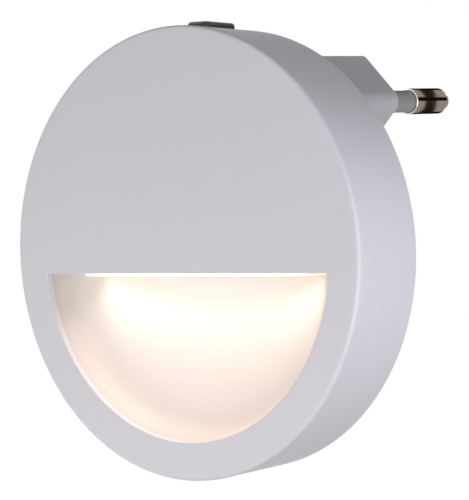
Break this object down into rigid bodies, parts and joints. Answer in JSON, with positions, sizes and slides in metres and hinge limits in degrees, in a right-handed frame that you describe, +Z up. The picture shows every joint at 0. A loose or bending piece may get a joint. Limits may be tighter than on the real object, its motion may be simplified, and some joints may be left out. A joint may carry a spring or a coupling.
{
  "type": "plug in night light",
  "caption": "Round plug in night light: half moon opening with a scooped reflector, light sensor window on the rim, flat plug body on the back.",
  "frame": {"origin": "centre of the plug's end face, halfway between the pins", "axes": "+Y points to the wall, the way the pins point, +Z is up, and the light's front faces -Y"},
  "size_m": [0.067, 0.0532, 0.0676],
  "materials": {
    "shell": "satin pale grey white",
    "reflector": "smooth white",
    "diffuser": "frosted, lit warm white",
    "window": "smoked, polished",
    "sensor": "coated disc",
    "board": "solder resist",
    "light_chip": "phosphor gel",
    "film_case": "moulded",
    "can": "sleeved",
    "moulded_chip": "moulded",
    "fuse_body": "coated",
    "pin_metal": "nickel plated",
    "sleeve": "satin",
    "retainer": "satin",
    "live_wire": "insulated",
    "neutral_wire": "insulated",
    "led_wire": "insulated",
    "screw_steel": "zinc plated"
  },
  "bodies": {
    "root": {"front_cover": "shell", "rear_housing": "shell", "reflector": "reflector", "diffuser": "diffuser", "sensor_window": "window", "light_sensor": "sensor", "driver_board": "board", "led_board": "board", "led_chips": "light_chip", "film_capacitor": "film_case", "smoothing_capacitor": "can", "bridge_rectifier": "moulded_chip", "switching_transistor": "moulded_chip", "zener_diode": "moulded_chip", "chip_resistors": "moulded_chip", "fuse_resistor": "fuse_body", "live_pin": "pin_metal", "neutral_pin": "pin_metal", "live_pin_sleeve": "sleeve", "neutral_pin_sleeve": "sleeve", "pin_retainer": "retainer", "live_wire": "live_wire", "neutral_wire": "neutral_wire", "led_leads": "led_wire", "cover_screws": "screw_steel", "board_screws": "screw_steel", "led_board_screws": "screw_steel", "retainer_screw": "screw_steel"}
  },
  "joints": []
}
